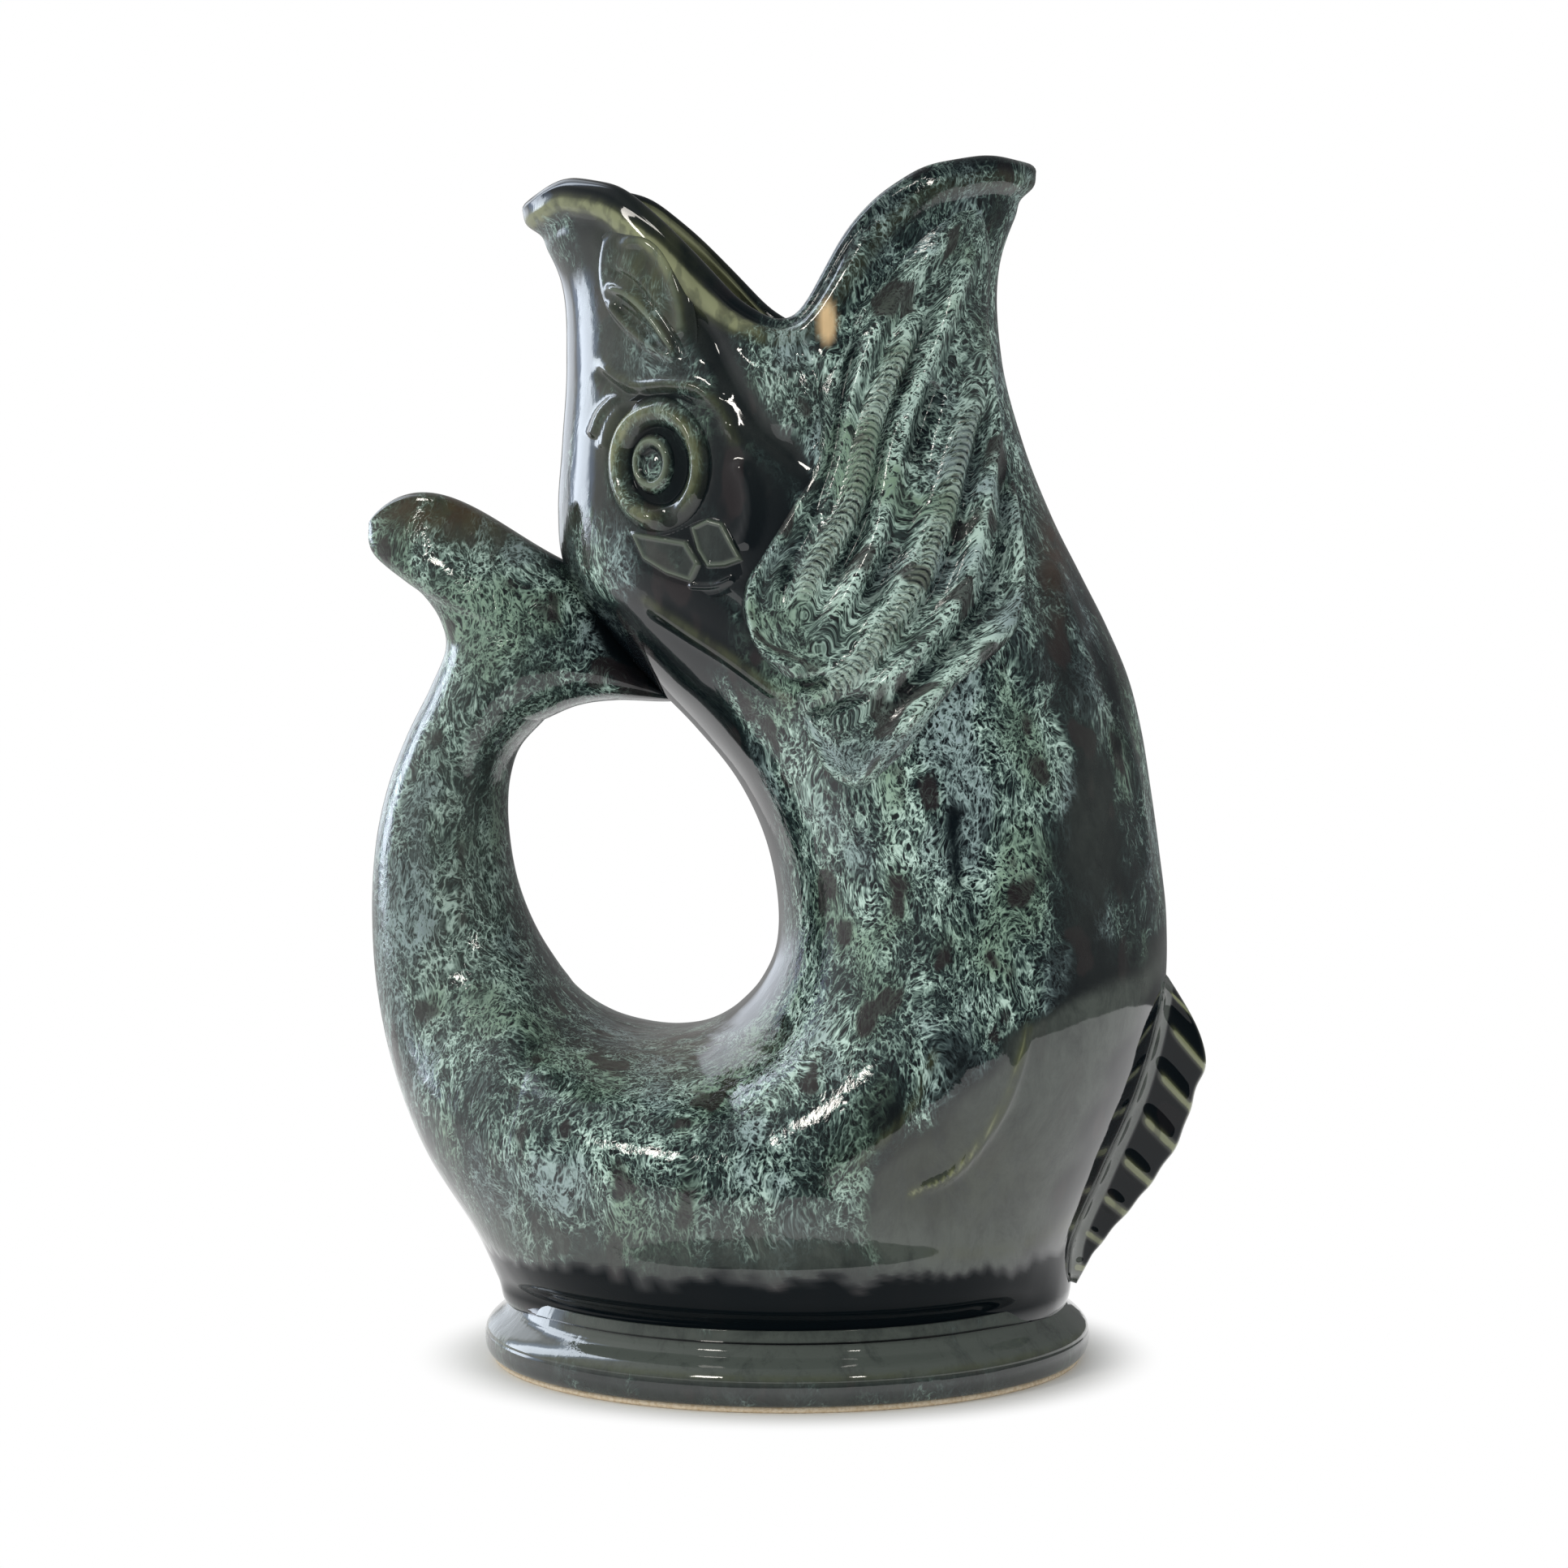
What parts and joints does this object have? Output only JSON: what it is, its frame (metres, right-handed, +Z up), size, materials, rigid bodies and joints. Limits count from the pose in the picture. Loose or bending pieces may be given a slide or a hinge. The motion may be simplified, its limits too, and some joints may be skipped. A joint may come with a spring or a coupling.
{
  "type": "gurgle jug",
  "caption": "Fish-shaped glazed ceramic pitcher: open mouth with a pouring jaw, hollow tail bent up as the handle, belly fin and round foot.",
  "frame": {"origin": "on the table, under the middle of the round foot", "axes": "+X towards the pouring jaw, +Y towards the jug's left side, +Z up; the picture shows the -Y side"},
  "size_m": [0.1692, 0.1218, 0.2393],
  "materials": {
    "mottled_glaze": "glossy dark green glaze with fine mint curdled flecks",
    "dark_glaze": "glossy near-black blue-green glaze",
    "olive_glaze": "glossy thin olive glaze over raised details",
    "bare_clay": "unglazed cream clay"
  },
  "bodies": {
    "root": {"body_shell": "mottled_glaze", "tail_handle": "mottled_glaze", "tail_fluke": "mottled_glaze", "ventral_fin": "dark_glaze", "foot_ring": "dark_glaze", "bare_foot_rim": "bare_clay", "gill_cover_right": "mottled_glaze", "gill_cover_left": "mottled_glaze", "eye_ring_right": "olive_glaze", "eye_ring_left": "olive_glaze", "eye_pupil_right": "olive_glaze", "eye_pupil_left": "olive_glaze", "snout_leaf_right": "dark_glaze", "snout_leaf_left": "dark_glaze", "cheek_plate_right": "dark_glaze", "cheek_plate_left": "dark_glaze"}
  },
  "joints": []
}
